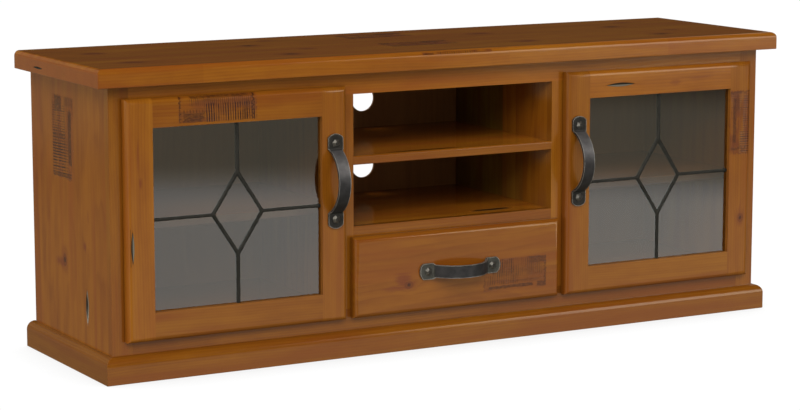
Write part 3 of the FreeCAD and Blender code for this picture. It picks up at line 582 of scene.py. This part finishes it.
SIDE_SAW = saw(-811, "X", 394, 568, 186, 304, "Y",
               [((392, 486, 232, 302), 6.2, 0.03, 1.0), ((392, 412, 200, 304), 6.2, 0.03, 0.9), ((480, 548, 232, 302), 5.4, 0.03, 0.75), ((412, 480, 216, 236), 6.2, 0.03, 0.5)],
               [((535, 566, 252, 290), 0.75), ((424, 540, 199, 217), 0.8), ((548, 568, 190, 236), 0.4), ((396, 404, 204, 300), 0.6)], 3, 0.55, 0.95)
RAIL_SAW = saw(-22.5, "Y", -665, -489, 530, 585, "Z",
               [((-606, -489, 528, 568), 5.4, 0.03, 1.0), ((-640, -500, 564, 584), 4.6, 0.03, 0.55), ((-662, -606, 532, 556), 7.0, 0.1, 0.5)],
               [((-666, -661.5, 530, 585), 0.9), ((-500, -495.5, 530, 585), 0.95), ((-655, -610, 531, 549), 0.7), ((-640, -510, 579, 585), 0.7), ((-520, -508, 530, 570), 0.45)], 7, 0.6, 1.0, 0.07)
DRAWER_SAW = saw(-22.5, "Y", 62, 224, 111, 181, "Z",
                 [((84, 140, 140, 181), 4.6, 0.04, 1.0), ((66, 150, 124, 146), 4.6, 0.04, 0.7), ((140, 222, 140, 180), 5.0, 0.04, 0.6)],
                 [((178, 221, 166, 181), 0.6), ((74, 190, 115, 122), 0.75), ((220, 224, 112, 181), 0.8), ((62, 65, 112, 140), 0.6), ((200, 222, 112, 124), 0.65)], 12, 0.58, 1.0)
STILE_SAW = saw(-22.5, "Y", 371, 518, 724, 780, "X",
                [((371, 428, 752, 781), 5.6, 0.03, 1.0), ((428, 512, 760, 780), 5.2, 0.03, 0.7), ((470, 516, 726, 758), 5.2, 0.03, 0.5)],
                [((398, 502, 732, 741), 0.85), ((381, 386, 728, 770), 0.8), ((512, 518, 724, 780), 0.7), ((430, 512, 775, 779), 0.6), ((474, 510, 742, 750), 0.5)], 17, 0.95, 0.74, 0.0)
TOP_SAW = saw(650, "Z", -99, 73, 97, 179, "Y",
              [((-60, 40, 127, 179), 5.6, 0.03, 0.8), ((-96, -40, 105, 137), 6.2, 0.03, 0.6)],
              [((-96, 20, 101, 111), 0.8), ((10, 72, 155, 175), 0.7), ((-98, -70, 147, 177), 0.6), ((30, 72, 107, 121), 0.6)], 29, 1.0, 1.0)
RIGHT_SAW = saw(811, "X", 188, 336, 80, 186, "Y",
                [((190, 286, 116, 186), 6.0, -0.12, 1.0)],
                [((200, 322, 88, 101), 0.8), ((304, 336, 112, 176), 0.55)], 23, 0.62, 0.95)

# Gain and tone set each board's brightness. The top, the inside shelves, the right partition and the face top rail are
# lightened as painted light where they lie in shade; the bottom rails, the plinth's left end and the left face stile
# are darker. The shade boxes are painted shade on the rear of the right partition, the mid shelf's front edge and the
# bay shelves' front edges behind the glass.
looks = {
    "top_panel": pine("pine_top", "X", "Z", 1.0, 0.118, 0.055, tone=-0.08, red=0.09, tone_and_light_gain=1.12, saws=[TOP_SAW], fold=(at(0, -10, 0)[1], 0.206),
                      knots=[(at(-365, 65, 650), 0.0095), (at(588, 64, 650), 0.0095)],
                      smears=[(at(-728, 69, 650), 0.045, 0.028, 1.0), (at(224, 68, 650), 0.05, 0.028, 1.0), (at(-282, 150, 650), 0.035, 0.022, 0.8), (at(670, 142, 650), 0.035, 0.022, 0.8)],
                      scars=[scar(-845, 295, 624, 1.4, 31, 3.6, nx=-1, core=0.02)],
                      zones=[((at(-846, 200, 628), Vector((0.0025, 0.3, 0.04))), 0.35, 0.12), ((at(-729, -32, 630), Vector((0.116, 0.020, 0.03))), 0.10, 0.04), ((at(330, -32, 630), Vector((0.21, 0.020, 0.03))), -0.10, -0.05)]),
    "side_panel_left": pine("pine_side_left", "Z", "X", 2.0, 0.104, 0.10125, red=0.0, tone=-0.04, tone_and_light_gain=1.05, zones=[((at(-811, 370, 325), Vector((0.03, 0.083, 0.4))), 0.2, 0.03)], knots=[(at(-811, 248, 219), 0.0072)], smears=[(at(-811, 268, 212), 0.014, 0.036, 0.85), (at(-811, 136, 263), 0.014, 0.012, 0.9), (at(-811, 116, 328), 0.022, 0.003, 0.7)], saws=[SIDE_SAW], scars=[scar(-811, 129, 137, 3.2, 9.2, 42, nx=-1, core=0.16, pale=(1, 3.4, -1.0))]),
    "side_panel_right": pine("pine_side_right", "Z", "X", 3.0, 0.104, 0.06, knots=[(at(811, 330, 150), 0.008), (at(811, 60, 505), 0.006)], saws=[RIGHT_SAW], scars=[scar(811, 285, 404, 2.9, 8.2, 40, nx=1, core=0.15, pale=(1, 0.0, -1.0))]),
    "bottom_panel": pine("pine_bottom", "X", "Z", 4.0, 0.11),
    "partition_left": pine("pine_partition_left", "Z", "X", 5.0, 0.1),
    "partition_right": pine("pine_partition_right", "Z", "X", 6.0, 0.1, 0.03, tone_and_light_gain=1.2, tone=-0.2,
                            shade=[(at(250, 315, 445.5), Vector((0.009, 0.108, 0.1745)), (0.52, 0.75, 1.2)), (at(250, 163, 346), Vector((0.009, 0.044, 0.075)), (0.74, 0.92, 1.5)), (at(250, 70, 346), Vector((0.009, 0.049, 0.075)), (0.86, 0.9, 1.0))]),
    "face_stile_left": pine("pine_stile_left", "Z", "Y", 7.0, tone_and_light_gain=0.88, tone=0.1, red=0.03),
    "face_stile_right": pine("pine_stile_right", "Z", "Y", 8.0, tone_and_light_gain=1.04, tone=0.05, red=0.03),
    "mullion_left": pine("pine_mullion_left", "Z", "Y", 9.0),
    "mullion_right": pine("pine_mullion_right", "Z", "Y", 10.0),
    "face_top_rail": pine("pine_face_top", "X", "Y", 11.0, tone_and_light_gain=1.2, tone=-0.16),
    "face_bottom_rail": pine("pine_face_bottom", "X", "Y", 12.0, tone_and_light_gain=0.88, tone=0.16, red=0.05),
    "drawer_rail": pine("pine_drawer_rail", "X", "Y", 13.0, tone_and_light_gain=0.95),
    "mid_shelf": pine("pine_mid_shelf", "X", "Z", 14.0, 0.105, tone_and_light_gain=1.58, red=0.03, splits=[(at(-66, 20, 431), Vector((0.104, 0.0062, 0.0012)))], shade=[(at(0, 0, 421), Vector((0.3, 0.004, 0.0097)), (0.53, 0.50, 0.55))], smears=[(at(-40, 258, 431), 0.06, 0.02, 0.9)]),
    "lower_shelf": pine("pine_lower_shelf", "X", "Z", 15.0, 0.105, 0.02, tone_and_light_gain=1.42, scars=[scar(127, 53, 280, 65, 10.0, 3.2, nz=1, core=0.006)], splits=[(at(127, 59, 280), Vector((0.066, 0.0034, 0.0012)))]),
    "bay_shelf_left": pine("pine_bay_left", "X", "Z", 16.0, 0.1, shade=[(at(-530, 40, 312), Vector((0.4, 0.0015, 0.0115)), (0.26, 0.24, 0.4))]),
    "bay_shelf_right": pine("pine_bay_right", "X", "Z", 17.0, 0.1, shade=[(at(530, 40, 312), Vector((0.4, 0.0015, 0.0115)), (0.26, 0.24, 0.4))]),
    "plinth_front": pine("pine_plinth_front", "X", "Y", 18.0, tone_and_light_gain=0.89, red=0.06),
    "plinth_left": pine("pine_plinth_left", "Y", "X", 19.0, tone_and_light_gain=0.77, red=0.06),
    "plinth_right": pine("pine_plinth_right", "Y", "X", 20.0, tone_and_light_gain=0.9, red=0.04),
    "drawer_front": pine("pine_drawer_front", "X", "Y", 21.0, 0.098, 0.04, tone_and_light_gain=0.95, red=0.02, knots=[(at(-127, -22.5, 145), 0.0056)], smears=[(at(-142, -22.5, 158), 0.028, 0.022, 0.85), (at(-160, -22.5, 140), 0.040, 0.009, 0.6)], saws=[DRAWER_SAW]),
    "left_door_hinge_stile": pine("pine_door_lh", "Z", "Y", 22.0, tone_and_light_gain=1.06, smears=[(at(-752, -22.5, 413), 0.018, 0.006, 0.75), (at(-757, -22.5, 470), 0.040, 0.0035, 0.5)], scars=[scar(-771, -22.5, 281, 5.0, 1.8, 39, ny=-1, core=0.155, pale=(0, 0.5, 1.0))], dull=[ledge(-1, "outer")]),
    "left_door_lock_stile": pine("pine_door_ll", "Z", "Y", 23.0, tone_and_light_gain=0.97, red=-0.05, dull=[ledge(-1, "inner")]),
    "left_door_top_rail": pine("pine_door_lt", "X", "Y", 24.0, red=0.02, saws=[RAIL_SAW], dull=[ledge(-1, "top")]),
    "left_door_bottom_rail": pine("pine_door_lb", "X", "Y", 25.0, tone_and_light_gain=0.91, tone=0.1, dull=[ledge(-1, "bottom")]),
    "right_door_hinge_stile": pine("pine_door_rh", "Z", "Y", 26.0, tone_and_light_gain=0.98, knots=[(at(758, -22.5, 221), 0.0056)], smears=[(at(757, -22.5, 246), 0.030, 0.004, 0.5)], saws=[STILE_SAW], dull=[ledge(1, "outer")]),
    "right_door_lock_stile": pine("pine_door_rl", "Z", "Y", 27.0, tone_and_light_gain=0.95, red=0.05, dull=[ledge(1, "inner")]),
    "right_door_top_rail": pine("pine_door_rt", "X", "Y", 28.0, tone_and_light_gain=1.18, smears=[(at(570, -22.5, 548), 0.022, 0.009, 0.55), (at(640, -22.5, 556), 0.045, 0.004, 0.5)], scars=[scar(418.5, -22.5, 550.5, 43, 2.0, 5.8, ny=-1, core=0.125, pale=(2, -0.3, -1.0))], dull=[ledge(1, "top")]),
    "right_door_bottom_rail": pine("pine_door_rb", "X", "Y", 29.0, tone_and_light_gain=0.93, red=-0.03, dull=[ledge(1, "bottom")]),
    "left_door_glazing_beads": pine("pine_beads_left", "X", "Y", 30.0),
    "right_door_glazing_beads": pine("pine_beads_right", "X", "Y", 31.0),
    "drawer_box_front": raw_pine("raw_box_front", "X", "Y", 32.0),
    "drawer_back": raw_pine("raw_box_back", "X", "Y", 33.0),
    "drawer_side_left": raw_pine("raw_box_left", "Y", "X", 34.0),
    "drawer_side_right": raw_pine("raw_box_right", "Y", "X", 35.0),
    "drawer_bottom": raw_pine("raw_box_bottom", "X", "Z", 36.0, 0.13),
    "base_rails": raw_pine("raw_base", "X", "Y", 37.0),
    "top_cleats": raw_pine("raw_cleats", "X", "Z", 38.0),
    "back_panel": back_board("veneer_back"),
}
iron, drawer_iron = forged_iron("forged_iron_wax", (0.022, 0.0212, 0.0200)), forged_iron("forged_iron_drawer", (0.060, 0.0610, 0.0560))
bolt, came = bolt_iron("bolt_iron"), lead("lead_came")
steel, dark_steel, glass = zinc("zinc_plate"), zinc("zinc_dull", (0.38, 0.37, 0.34), 0.4), pane("float_glass")
for side in ("left_door", "right_door"):
    looks.update({f"{side}_glass": glass, f"{side}_lead_came": came, f"{side}_handle": iron, f"{side}_handle_bolts": bolt, f"{side}_hinge_cups": steel, f"{side}_hinge_pins": steel})
looks.update({"drawer_handle": drawer_iron, "drawer_handle_bolts": bolt, "drawer_runners": steel, "runner_channels": steel, "drawer_screws": dark_steel, "wood_screws": dark_steel, "hinge_arms": steel, "hinge_plates": steel, "shelf_pins": steel})

missing = sorted(set(nodes) - set(looks))
if missing:
    raise SystemExit(f"no finish for {missing}")
for name, m in looks.items():
    mesh = nodes[name].data
    mesh.materials.clear()
    mesh.materials.append(m)


# ---------------------------------------------------------------- leaded lines

CAME_H = 1.9  # crown of a strip over the glass
DIA_W, DIA_H = 56.5, 85.5  # half sizes of the diamond


def half_round(p, q, y, out_y):
    """Closed half-round strip from p to q (x, z in millimetres) on a pane's face; upright runs are a little wider."""
    dx, dz = q[0] - p[0], q[1] - p[1]
    n = math.hypot(dx, dz)
    wide = 7.0 + 1.6 * abs(dz) / n
    ux, uz = dx / n, dz / n
    steps = 8
    bm = bmesh.new()
    rows = []
    for x, z in (p, q):
        row = []
        for s in range(steps + 1):
            e = math.pi * s / steps
            c, h = 0.5 * wide * math.cos(e), CAME_H * math.sin(e) ** 0.8
            row.append(bm.verts.new(at(x - uz * c, y + out_y * (0.04 + h), z + ux * c)))
        rows.append(row)
    a, b = rows
    for s in range(steps):
        bm.faces.new((a[s], a[s + 1], b[s + 1], b[s]))
    bm.faces.new((a[steps], a[0], b[0], b[steps]))
    bm.faces.new(list(reversed(a)))
    bm.faces.new(b)
    bmesh.ops.recalc_face_normals(bm, faces=bm.faces)
    return bm


def solder(x, z, rx, rz, h, y, out_y, twist):
    """Low domed drop of solder over a joint."""
    rings, spokes = 5, 18
    bm = bmesh.new()
    rows = []
    for r in range(rings):
        e = 0.5 * math.pi * r / rings
        row = []
        for s in range(spokes):
            v = 2 * math.pi * s / spokes
            k = math.cos(e) * (1.0 + 0.07 * math.sin(2 * v + twist) + 0.04 * math.sin(3 * v + 2 * twist))
            row.append(bm.verts.new(at(x + rx * k * math.cos(v), y + out_y * (0.04 + h * math.sin(e)), z + rz * k * math.sin(v))))
        rows.append(row)
    tip = bm.verts.new(at(x, y + out_y * (0.04 + h), z))
    for lo, hi in zip(rows, rows[1:]):
        for s in range(spokes):
            n = (s + 1) % spokes
            bm.faces.new((lo[s], lo[n], hi[n], hi[s]))
    for s in range(spokes):
        bm.faces.new((rows[-1][s], rows[-1][(s + 1) % spokes], tip))
    bm.faces.new(list(reversed(rows[0])))
    bmesh.ops.recalc_face_normals(bm, faces=bm.faces)
    return bm


def as_object(name, bm):
    mesh = bpy.data.meshes.new(name)
    bm.to_mesh(mesh)
    bm.free()
    obj = bpy.data.objects.new(name, mesh)
    scene.collection.objects.link(obj)
    return obj


def join_solids(name, parts):
    """One closed mesh from several that overlap."""
    base, rest = parts[0], parts[1:]
    for n, other in enumerate(rest):
        mod = base.modifiers.new(f"u{n}", "BOOLEAN")
        mod.operation = "UNION"
        mod.solver = "EXACT"
        mod.object = other
    bpy.context.view_layer.update()
    deps = bpy.context.evaluated_depsgraph_get()
    mesh = bpy.data.meshes.new_from_object(base.evaluated_get(deps))
    mesh.name = name
    for o in parts:
        old = o.data
        bpy.data.objects.remove(o)
        bpy.data.meshes.remove(old)
    return mesh


def lead_lines(side, sign):
    cx, cz = 530.0 * sign, 334.0
    x0, x1, z0, z1 = cx - 193.2, cx + 193.2, cz - 190.2, cz + 190.2
    top, bottom, left, right = (cx, cz + DIA_H), (cx, cz - DIA_H), (cx - DIA_W, cz), (cx + DIA_W, cz)
    runs = [(top, right), (right, bottom), (bottom, left), (left, top), (top, (cx, z1)), (bottom, (cx, z0)), (left, (x0, cz)), (right, (x1, cz))]
    meshes = []
    for face, y, out_y in (("front", -12.5, -1.0), ("back", -8.5, 1.0)):
        solids = [as_object(f"run{n}", half_round(p, q, y, out_y)) for n, (p, q) in enumerate(runs)]
        for n, (x, z) in enumerate((top, bottom)):
            solids.append(as_object(f"drop{n}", solder(x, z, 5.0, 6.4, 2.25, y, out_y, 1.3 * n + sign)))
        for n, (x, z) in enumerate((left, right)):
            solids.append(as_object(f"side{n}", solder(x, z, 6.2, 5.0, 2.25, y, out_y, 2.1 * n + sign)))
        solids.append(as_object("end", solder(x1 - 5.6, cz, 5.2, 4.9, 2.5, y, out_y, 0.7)))
        meshes.append(join_solids(f"{side}_{face}", solids))
    bm = bmesh.new()
    for mesh in meshes:
        bm.from_mesh(mesh)
        bpy.data.meshes.remove(mesh)
    bmesh.ops.remove_doubles(bm, verts=bm.verts, dist=1e-6)
    for f in bm.faces:
        f.smooth = True
    piece = as_object(f"{side}_leading", bm)
    piece.data.set_sharp_from_angle(angle=math.radians(48.0))
    piece.data.materials.append(came)
    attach(piece, side)
    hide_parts(f"{side}_lead_came")
    return piece


lead_lines("left_door", -1.0)
lead_lines("right_door", 1.0)


# ---------------------------------------------------------------- eased edges


def tidy_group():
    """Joins the split corners of an imported mesh and shades it smooth, so that an edge can be eased."""
    tree = bpy.data.node_groups.new("join_corners", "GeometryNodeTree")
    tree.interface.new_socket("Geometry", in_out="INPUT", socket_type="NodeSocketGeometry")
    tree.interface.new_socket("Geometry", in_out="OUTPUT", socket_type="NodeSocketGeometry")
    gin, gout = tree.nodes.new("NodeGroupInput"), tree.nodes.new("NodeGroupOutput")
    drop = tree.nodes.new("GeometryNodeRemoveAttribute")
    drop.inputs["Name"].default_value = "custom_normal"
    merge = tree.nodes.new("GeometryNodeMergeByDistance")
    merge.inputs["Distance"].default_value = 2e-6
    shade = tree.nodes.new("GeometryNodeSetShadeSmooth")
    tree.links.new(gin.outputs[0], drop.inputs["Geometry"])
    tree.links.new(drop.outputs[0], merge.inputs["Geometry"])
    tree.links.new(merge.outputs[0], shade.inputs["Geometry"])
    tree.links.new(shade.outputs[0], gout.inputs[0])
    return tree


JOIN = tidy_group()


def ease(obj, width, segments=2, angle=32.0):
    """Rounds every sharp edge of a piece a little."""
    a = obj.modifiers.new("join", "NODES")
    a.node_group = JOIN
    b = obj.modifiers.new("ease", "BEVEL")
    b.width = width
    b.segments = segments
    b.limit_method = "ANGLE"
    b.angle_limit = math.radians(angle)
    b.use_clamp_overlap = True
    b.miter_outer = "MITER_ARC"
    w = obj.modifiers.new("flat", "WEIGHTED_NORMAL")
    w.keep_sharp = False
    w.weight = 90


for name, obj in nodes.items():
    look = looks[name]
    if look in (glass, came):
        continue
    if look in (iron, drawer_iron):
        ease(obj, 0.0007, 3)
    elif look in (steel, dark_steel, bolt):
        ease(obj, 0.0003, 1)
    else:
        ease(obj, 0.0004, 2)


# ---------------------------------------------------------------- studio

world = bpy.data.worlds.new("studio")
scene.world = world
world.use_nodes = True
world.node_tree.nodes.clear()
w = Tree(world.node_tree)
direction = w.new("ShaderNodeTexCoord").outputs["Generated"]
dx, dy, dz = w.sep(direction)
lift = w.mul(w.math("ARCSINE", dz), 180.0 / math.pi)
turn = w.mul(w.math("ARCTAN2", dx, w.mul(dy, -1.0)), 180.0 / math.pi)


def window(angle, az0, az1, el0, el1, soft_az, soft_el):
    a = w.mul(w.smooth(angle, az0 - soft_az, az0 + soft_az), w.smooth(angle, az1 - soft_az, az1 + soft_az, 1.0, 0.0))
    e = w.mul(w.smooth(lift, el0 - soft_el, el0 + soft_el), w.smooth(lift, el1 - soft_el, el1 + soft_el, 1.0, 0.0))
    return w.mul(a, e)


rear = w.mul(w.math("ARCTAN2", dx, dy), 180.0 / math.pi)
front = w.smooth(dy, 0.45, -0.45)
back_left = w.mul(w.smooth(dx, -0.05, -0.4), w.smooth(dy, 0.2, 0.6))
ground = w.smooth(lift, -9.1, -8.1, 1.0, 0.0)
near_ground = w.mul(w.smooth(lift, -40.0, -20.0), w.mul(w.smooth(turn, -6.0, 15.0), w.smooth(turn, 39.0, 52.0, 1.0, 0.0)))
ground_level = w.mad(near_ground, w.smooth(turn, 15.0, 40.0, 0.80, 1.08), w.mad(back_left, -0.04, 0.30))
rim = w.mul(w.smooth(lift, -7.1, -6.0, 0.42, 0.0), front)
upper = w.add(rim, w.mad(front, 0.03, 0.03))
level = w.add(w.mul(ground, ground_level), w.mul(w.math("SUBTRACT", 1.0, ground), upper))
# softbox on the right, key and fill on the left, a low strip at the left side, back and right fills
for angle, az0, az1, el0, el1, soft_az, soft_el, power in (
    (turn, 31.2, 41.5, -4.6, 27.5, 1.2, 0.8, 6.6),
    (turn, -50.0, -25.0, 18.0, 48.0, 4.0, 3.0, 8.5),
    (turn, -25.0, 0.0, 18.0, 48.0, 4.0, 3.0, 3.5),
    (turn, -25.0, 0.0, 6.0, 18.0, 3.0, 2.0, 1.3),
    (turn, -25.0, 22.0, -6.0, 6.0, 3.0, 2.0, 0.7),
    (turn, 0.0, 22.0, 32.0, 48.0, 4.0, 3.0, 7.4),
    (turn, -25.0, 22.0, 48.0, 66.0, 4.0, 3.0, 0.9),
    (turn, -62.0, -32.0, -14.0, -3.0, 5.0, 2.0, 0.9),
    (turn, -100.0, -75.0, -6.0, 18.0, 3.0, 2.0, 5.0),
    (turn, -75.0, -50.0, 6.0, 18.0, 3.0, 2.0, 1.7),
    (turn, -130.0, -100.0, -4.0, 12.0, 3.0, 2.0, 4.2),
    (turn, -130.0, -100.0, 30.0, 52.0, 4.0, 3.0, 1.3),
    (turn, 90.0, 135.0, 6.0, 40.0, 5.0, 4.0, 2.5),
    (rear, -26.0, 4.0, 14.0, 42.0, 4.0, 4.0, 0.25),
    (rear, -50.0, -12.0, -8.0, 4.0, 3.0, 1.0, 0.32),
    (rear, -50.0, -12.0, 4.0, 18.0, 3.0, 2.0, 0.22),
    (rear, -50.0, 12.0, 40.0, 66.0, 5.0, 3.0, 4.0),
):
    level = w.mad(window(angle, az0, az1, el0, el1, soft_az, soft_el), power, level)
tint = w.ramp(w.mul(level, 0.5), ((0.0, (1.0, 0.9, 0.64)), (0.22, (1.0, 0.91, 0.68)), (0.5, (1.0, 0.98, 0.92)), (1.0, (1.0, 0.95, 0.84))))
sky = w.new("ShaderNodeBackground")
w.put(sky.inputs["Color"], tint)
w.put(sky.inputs["Strength"], level)
w.put(w.new("ShaderNodeOutputWorld").inputs["Surface"], sky.outputs[0])


def plane_mesh(name, size, z):
    mesh = bpy.data.meshes.new(name)
    mesh.from_pydata([(-size, -size, z), (size, -size, z), (size, size, z), (-size, size, z)], [], [(0, 1, 2, 3)])
    obj = bpy.data.objects.new(name, mesh)
    scene.collection.objects.link(obj)
    return obj


def only_camera(obj):
    obj.visible_diffuse = obj.visible_glossy = obj.visible_transmission = obj.visible_volume_scatter = obj.visible_shadow = False


paper, t, out = material("floor_paper")
# Painted contact shadow: the floor glows evenly, and ambient occlusion dims its glow near the cabinet.
shade = t.new("ShaderNodeAmbientOcclusion", samples=8)
shade.inputs["Distance"].default_value = 0.2
glow = t.new("ShaderNodeEmission")
t.put(glow.inputs["Color"], t.ramp(shade.outputs["AO"], ((0.3, (0.80, 0.79, 0.78)), (0.8, (1.0, 1.0, 1.0)))))
glow.inputs["Strength"].default_value = 1.02
t.put(out.inputs["Surface"], glow.outputs[0])
floor = plane_mesh("floor", 40.0, 0.0)
floor.data.materials.append(paper)
only_camera(floor)

white, t, out = material("backdrop_white")
glow = t.new("ShaderNodeEmission")
glow.inputs["Color"].default_value = (1.0, 1.0, 1.0, 1.0)
glow.inputs["Strength"].default_value = 1.02
t.put(out.inputs["Surface"], glow.outputs[0])
dome_mesh = bpy.data.meshes.new("backdrop")
rings, spokes, radius = 10, 48, 39.0
verts, faces = [], []
for r in range(rings + 1):
    e = math.radians(90.0 * r / rings)
    for s in range(spokes):
        a = 2 * math.pi * s / spokes
        verts.append((radius * math.cos(e) * math.cos(a), radius * math.cos(e) * math.sin(a), radius * math.sin(e) - 0.3))
for r in range(rings):
    for s in range(spokes):
        n = (s + 1) % spokes
        faces.append((r * spokes + s, r * spokes + n, (r + 1) * spokes + n, (r + 1) * spokes + s))
dome_mesh.from_pydata(verts, [], faces)
dome = bpy.data.objects.new("backdrop", dome_mesh)
scene.collection.objects.link(dome)
dome_mesh.materials.append(white)
only_camera(dome)
